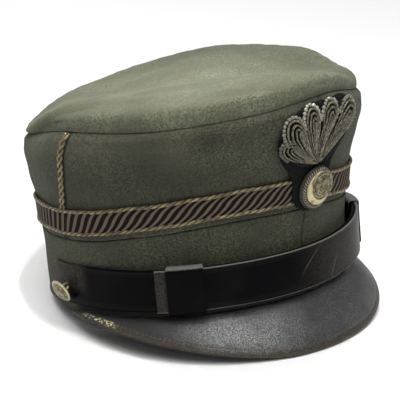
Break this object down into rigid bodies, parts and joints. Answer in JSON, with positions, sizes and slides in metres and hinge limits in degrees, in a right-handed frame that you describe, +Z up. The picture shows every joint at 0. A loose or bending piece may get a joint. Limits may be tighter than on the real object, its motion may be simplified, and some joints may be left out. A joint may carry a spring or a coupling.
{
  "type": "kepi cap",
  "caption": "Soft cloth kepi with a puffed top, ribbed lace, embroidered fan badge, leather peak and a chin strap held by domed buttons.",
  "frame": {"origin": "centre of the footprint on the surface that the cap rests on, below the head opening", "axes": "+Z up from that surface, +Y toward the back of the head, +X toward the wearer's left"},
  "size_m": [0.213, 0.2264, 0.1586],
  "materials": {
    "cloth": "matte felted wool",
    "top_cloth": "matte felted wool",
    "lace": "ribbed woven lace",
    "gold_cord": "twisted cord",
    "felt": "matte felt",
    "bullion": "metal thread embroidery",
    "rope": "twisted metal thread rope",
    "badge_brass": "aged pale brass",
    "strap_leather": "smooth polished leather",
    "peak_leather": "worn grained leather",
    "button_metal": "worn silvered brass"
  },
  "bodies": {
    "root": {"cap_band": "cloth", "crown_wall": "cloth", "crown_top": "top_cloth", "lace_band": "lace", "side_cord_right": "gold_cord", "side_cord_left": "gold_cord", "badge_backing": "felt", "badge_plume": "bullion", "badge_boss": "rope", "badge_disc": "badge_brass", "peak": "peak_leather", "strap_from_right": "strap_leather", "strap_from_left": "strap_leather", "keeper_right": "strap_leather", "keeper_left": "strap_leather", "button_right": "button_metal", "button_left": "button_metal"}
  },
  "joints": []
}
